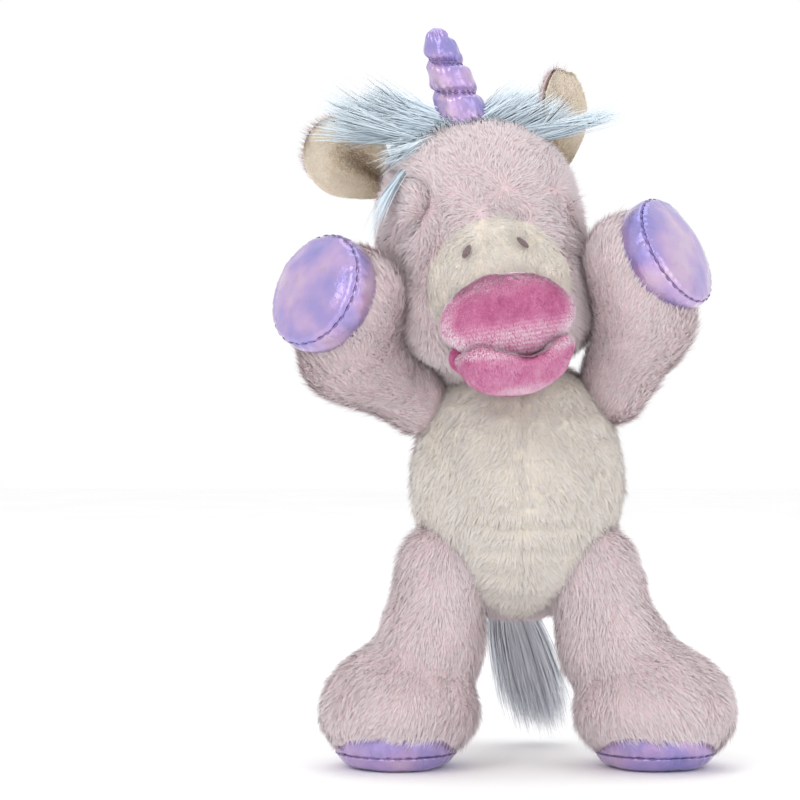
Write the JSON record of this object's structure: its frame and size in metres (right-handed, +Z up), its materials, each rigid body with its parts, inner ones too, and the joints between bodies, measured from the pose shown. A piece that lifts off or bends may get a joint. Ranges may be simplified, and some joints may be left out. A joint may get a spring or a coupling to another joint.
{
  "type": "plush unicorn",
  "caption": "soft stuffed unicorn standing on its hind hooves with raised forelegs, velour mouth, foil-cloth horn and hooves, and long-pile mane and tail",
  "frame": {"origin": "middle of the bounding box on the floor, under the soles of the hind hooves", "axes": "+Z up, the toy faces -Y, +X is the toy's left"},
  "size_m": [0.1778, 0.1152, 0.2826],
  "materials": {
    "pink_pile": "soft brushed pile, pale pink",
    "cream_pile": "soft brushed pile, cream",
    "ear_lining": "short smooth pile, cream",
    "foil_cloth": "iridescent lilac foil cloth",
    "velour": "rose velour with a light sheen",
    "thread": "sewing thread",
    "brown_thread": "satin-stitch embroidery",
    "blue_hair": "long pile, light blue",
    "grey_hair": "long pile, grey blue",
    "fibre": "polyester fibre filling"
  },
  "bodies": {
    "torso": {"torso_casing": "pink_pile", "belly_panel_right": "cream_pile", "belly_panel_left": "cream_pile", "belly_seam": "thread", "torso_stuffing": "fibre", "closing_stitches": "thread"},
    "right_shoulder_seam": {"right_shoulder_seam": "thread"},
    "right_arm": {"right_arm_casing": "pink_pile", "right_arm_stuffing": "fibre", "right_arm_hoof_band": "foil_cloth", "right_arm_hoof_seam": "thread", "right_arm_hoof_sole": "foil_cloth"},
    "left_shoulder_seam": {"left_shoulder_seam": "thread"},
    "left_arm": {"left_arm_casing": "pink_pile", "left_arm_stuffing": "fibre", "left_arm_hoof_band": "foil_cloth", "left_arm_hoof_seam": "thread", "left_arm_hoof_sole": "foil_cloth"},
    "right_hip_seam": {"right_hip_seam": "thread"},
    "right_leg": {"right_leg_casing": "pink_pile", "right_leg_stuffing": "fibre", "right_leg_hoof_band": "foil_cloth", "right_leg_hoof_seam": "thread", "right_leg_hoof_sole": "foil_cloth"},
    "left_hip_seam": {"left_hip_seam": "thread"},
    "left_leg": {"left_leg_casing": "pink_pile", "left_leg_stuffing": "fibre", "left_leg_hoof_band": "foil_cloth", "left_leg_hoof_seam": "thread", "left_leg_hoof_sole": "foil_cloth"},
    "neck_seam": {"neck_seam": "thread"},
    "head": {"head_casing": "pink_pile", "head_stuffing": "fibre", "neck_casing": "pink_pile", "neck_stuffing": "fibre", "muzzle_casing": "cream_pile", "mouth_pad": "velour", "right_nostril": "brown_thread", "left_nostril": "brown_thread", "forelock": "blue_hair", "neck_mane": "blue_hair"},
    "lower_lip": {"lower_lip": "velour"},
    "right_ear": {"right_ear_back": "pink_pile", "right_ear_lining": "ear_lining"},
    "left_ear": {"left_ear_back": "pink_pile", "left_ear_lining": "ear_lining"},
    "horn": {"horn_casing": "foil_cloth", "horn_stuffing": "fibre", "horn_thread": "thread"},
    "tail_tab": {"tail_tab": "pink_pile"},
    "tail": {"tail_hair": "grey_hair"}
  },
  "joints": [
    {"name": "right_arm_lower", "type": "hinge", "parent": "torso", "child": "right_shoulder_seam", "pos_m": [-0.03472, -0.00375, 0.134], "axis": [0, -1, 0], "range_deg": [0, 60], "stiffness_Nm_per_rad": 0.2},
    {"name": "right_arm_swing", "type": "hinge", "parent": "right_shoulder_seam", "child": "right_arm", "pos_m": [-0.03472, -0.00375, 0.134], "axis": [1, 0, 0], "range_deg": [-3, 30], "stiffness_Nm_per_rad": 0.2},
    {"name": "left_arm_lower", "type": "hinge", "parent": "torso", "child": "left_shoulder_seam", "pos_m": [0.04428, -0.00375, 0.136], "axis": [0, 1, 0], "range_deg": [0, 60], "stiffness_Nm_per_rad": 0.2},
    {"name": "left_arm_swing", "type": "hinge", "parent": "left_shoulder_seam", "child": "left_arm", "pos_m": [0.04428, -0.00375, 0.136], "axis": [1, 0, 0], "range_deg": [-10, 30], "stiffness_Nm_per_rad": 0.2},
    {"name": "right_leg_spread", "type": "hinge", "parent": "torso", "child": "right_hip_seam", "pos_m": [-0.02372, -0.00875, 0.075], "axis": [0, 1, 0], "range_deg": [-4, 14], "stiffness_Nm_per_rad": 1.2},
    {"name": "right_leg_swing", "type": "hinge", "parent": "right_hip_seam", "child": "right_leg", "pos_m": [-0.02372, -0.00875, 0.075], "axis": [1, 0, 0], "range_deg": [-25, 14], "stiffness_Nm_per_rad": 1.2},
    {"name": "left_leg_spread", "type": "hinge", "parent": "torso", "child": "left_hip_seam", "pos_m": [0.03428, -0.00875, 0.075], "axis": [0, -1, 0], "range_deg": [-4, 14], "stiffness_Nm_per_rad": 1.2},
    {"name": "left_leg_swing", "type": "hinge", "parent": "left_hip_seam", "child": "left_leg", "pos_m": [0.03428, -0.00875, 0.075], "axis": [1, 0, 0], "range_deg": [-25, 14], "stiffness_Nm_per_rad": 1.2},
    {"name": "neck_nod", "type": "hinge", "parent": "torso", "child": "neck_seam", "pos_m": [-0.00072, 0.00425, 0.151], "axis": [1, 0, 0], "range_deg": [-12, 4], "stiffness_Nm_per_rad": 0.6},
    {"name": "neck_turn", "type": "hinge", "parent": "neck_seam", "child": "head", "pos_m": [-0.00072, 0.00425, 0.151], "axis": [0, 0, 1], "range_deg": [-12, 12], "stiffness_Nm_per_rad": 0.6},
    {"name": "mouth_open", "type": "hinge", "parent": "head", "child": "lower_lip", "pos_m": [0.00286, -0.03347, 0.15768], "axis": [0.9789, 0.1219, 0.1638], "range_deg": [0, 18], "stiffness_Nm_per_rad": 0.05},
    {"name": "right_ear_flap", "type": "hinge", "parent": "head", "child": "right_ear", "pos_m": [-0.0468, -0.00188, 0.22339], "axis": [0.6016, -0.1206, 0.7896], "range_deg": [-12, 15], "stiffness_Nm_per_rad": 0.03},
    {"name": "left_ear_flap", "type": "hinge", "parent": "head", "child": "left_ear", "pos_m": [0.01977, 0.00641, 0.23453], "axis": [0.572, 0.8164, -0.0799], "range_deg": [-12, 15], "stiffness_Nm_per_rad": 0.03},
    {"name": "horn_bend", "type": "hinge", "parent": "head", "child": "horn", "pos_m": [-0.01547, -0.00667, 0.24729], "axis": [0.939, 0.0931, 0.331], "range_deg": [-10, 10], "stiffness_Nm_per_rad": 0.05},
    {"name": "tail_lift", "type": "hinge", "parent": "torso", "child": "tail_tab", "pos_m": [0.00228, 0.03275, 0.064], "axis": [1, 0, 0], "range_deg": [-4, 24], "stiffness_Nm_per_rad": 0.03},
    {"name": "tail_swing", "type": "hinge", "parent": "tail_tab", "child": "tail", "pos_m": [0.00228, 0.03275, 0.064], "axis": [0, 1, 0], "range_deg": [-30, 30], "stiffness_Nm_per_rad": 0.03}
  ]
}
